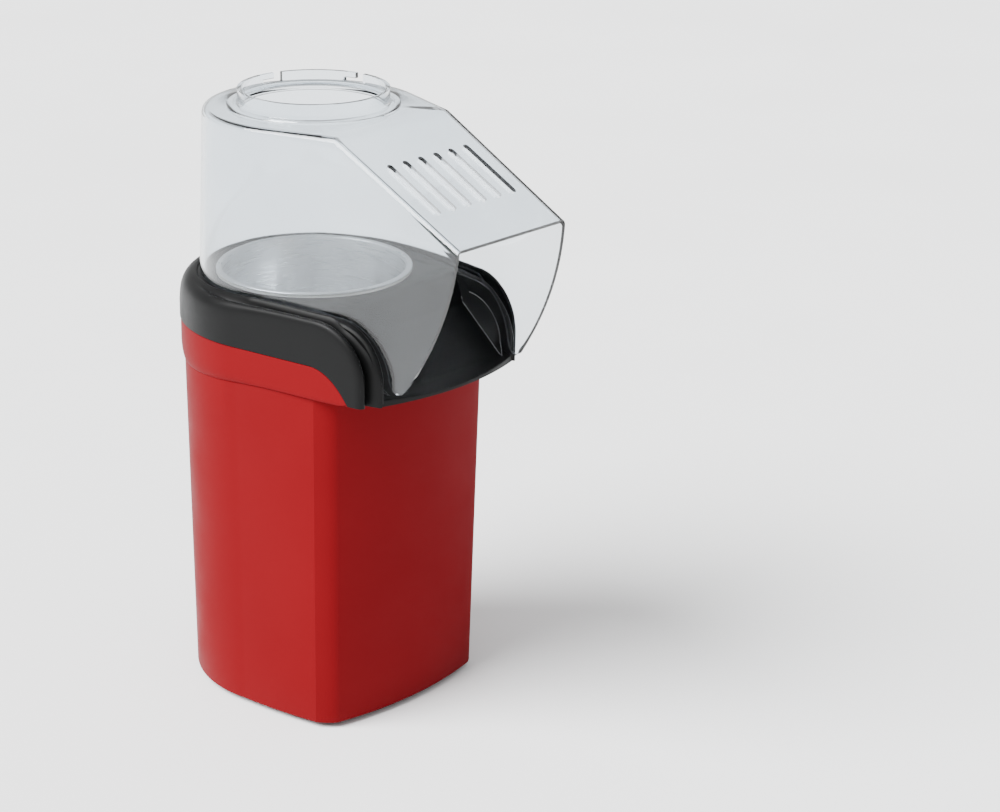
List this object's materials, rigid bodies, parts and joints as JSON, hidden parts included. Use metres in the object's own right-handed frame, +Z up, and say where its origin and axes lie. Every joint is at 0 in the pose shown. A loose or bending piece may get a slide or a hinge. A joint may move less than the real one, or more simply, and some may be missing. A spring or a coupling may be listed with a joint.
{
  "type": "popcorn maker",
  "caption": "Hot-air popcorn maker: round-backed shell, overhanging collar with a pouring chute, and a lift-off clear hood with a filler ring and vents.",
  "frame": {"origin": "under the middle of the whole machine, on the surface its feet stand on", "axes": "+Z up, chute and cover mouth face -Y, +X to the right seen from the front"},
  "size_m": [0.1288, 0.1888, 0.2925],
  "materials": {
    "red_shell": "satin red moulded plastic",
    "black_plastic": "satin black moulded plastic",
    "black_gloss": "gloss black plastic",
    "clear_plastic": "clear moulded plastic",
    "aluminium": "drawn aluminium, satin",
    "steel": "zinc-plated steel sheet",
    "bright_steel": "bright zinc-plated",
    "silicone": "grey silicone",
    "mica": "pressed mica sheet",
    "heater_wire": "oxidised resistance wire",
    "fan_plastic": "dark nylon",
    "rubber": "black rubber",
    "board": "green circuit board laminate",
    "blue_sleeve": "blue shrink sleeve",
    "lead_sleeve": "glass-braid and silicone insulation"
  },
  "bodies": {
    "machine": {"air_duct": "steel", "base_plate": "black_plastic", "base_screw_1": "bright_steel", "base_screw_2": "bright_steel", "base_screw_3": "bright_steel", "base_screw_4": "bright_steel", "body_shell": "red_shell", "bridge_rectifier": "black_gloss", "capacitor": "blue_sleeve", "chamber_seal": "silicone", "chute_deck": "black_plastic", "circuit_board": "board", "duct_screw_1": "bright_steel", "duct_screw_2": "bright_steel", "duct_screw_3": "bright_steel", "duct_screw_4": "bright_steel", "foot_1": "rubber", "foot_2": "rubber", "foot_3": "rubber", "foot_4": "rubber", "heating_coil": "heater_wire", "lead_inlet": "black_plastic", "lead_to_board": "lead_sleeve", "lead_to_heater": "lead_sleeve", "lead_to_motor": "lead_sleeve", "lead_to_switch": "lead_sleeve", "mica_frame": "mica", "mica_sleeve": "mica", "motor": "steel", "motor_mount": "steel", "motor_screw_1": "bright_steel", "motor_screw_2": "bright_steel", "popping_chamber": "aluminium", "switch_bezel": "black_plastic", "thermal_fuse": "steel", "thermostat": "steel", "top_collar": "black_plastic"},
    "cover": {"clear_cover": "clear_plastic"},
    "fan": {"fan_impeller": "fan_plastic", "motor_shaft": "bright_steel"},
    "rocker": {"switch_rocker": "black_gloss"}
  },
  "joints": [
    {"name": "cover_lift", "type": "slide", "parent": "machine", "child": "cover", "axis": [0, 0, 1], "range_m": [0, 0.08]},
    {"name": "fan_spin", "type": "hinge", "parent": "machine", "child": "fan", "pos_m": [0, 0.0299, 0.0825], "axis": [0, 0, 1], "continuous": true},
    {"name": "switch_rock", "type": "hinge", "parent": "machine", "child": "rocker", "pos_m": [0, 0.09031, 0.0425], "axis": [1, 0, 0], "range_deg": [-16, 0]}
  ]
}
